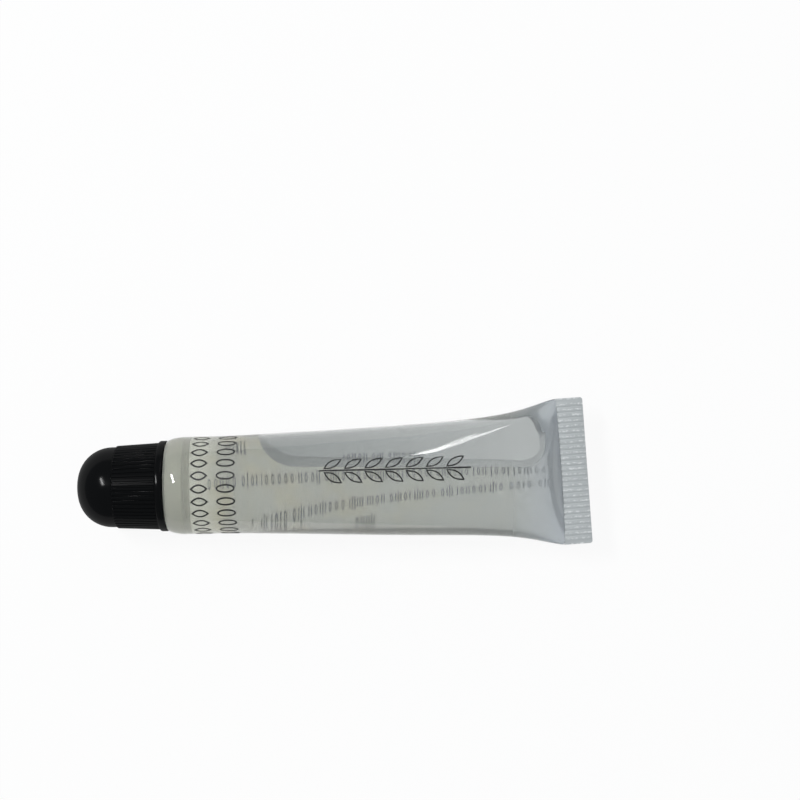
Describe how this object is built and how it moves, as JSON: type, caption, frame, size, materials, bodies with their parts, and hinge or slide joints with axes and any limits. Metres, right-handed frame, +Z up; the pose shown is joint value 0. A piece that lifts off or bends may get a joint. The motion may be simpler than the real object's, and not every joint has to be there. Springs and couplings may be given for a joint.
{
  "type": "lip gloss tube",
  "caption": "Soft clear squeeze tube of lip gloss with a flat crimped tail and a black domed, ribbed screw cap over a slanted applicator tip",
  "frame": {"origin": "on the surface the tube lies on, below the middle of the closed tube", "axes": "+X from the cap to the sealed tail, +Y across the flat seal, +Z up"},
  "size_m": [0.1, 0.0288, 0.019],
  "materials": {
    "clear_sleeve": "clear extruded low-density polyethylene, soft gloss, heat-crimped at the tail",
    "milky_head": "natural polyethylene, injection moulded, milky",
    "applicator": "natural polyethylene, injection moulded, smooth for the lips",
    "gloss_gel": "clear polybutene gel with an air pocket",
    "seal_foam": "closed-cell polyethylene foam, die cut",
    "black_cap": "black polypropylene, injection moulded, high gloss dome and band, fine ribs"
  },
  "bodies": {
    "tube": {"tube_sleeve": "clear_sleeve", "tube_head": "milky_head", "applicator_tip": "applicator", "gloss_fill": "gloss_gel"},
    "seal": {"seal_ring": "seal_foam"},
    "cap": {"cap": "black_cap"}
  },
  "joints": [
    {"name": "cap_rise", "type": "slide", "parent": "tube", "child": "seal", "axis": [-1, 0, 0], "range_m": [0, 0.021]},
    {"name": "cap_turn", "type": "hinge", "parent": "seal", "child": "cap", "pos_m": [-0.04126, -0.00103, 0.0095], "axis": [-1, 0, 0], "range_deg": [0, 1260]}
  ],
  "couplings": [
    {"joint": "cap_rise", "follows": "cap_turn", "m_per_rad": 0.000954}
  ]
}
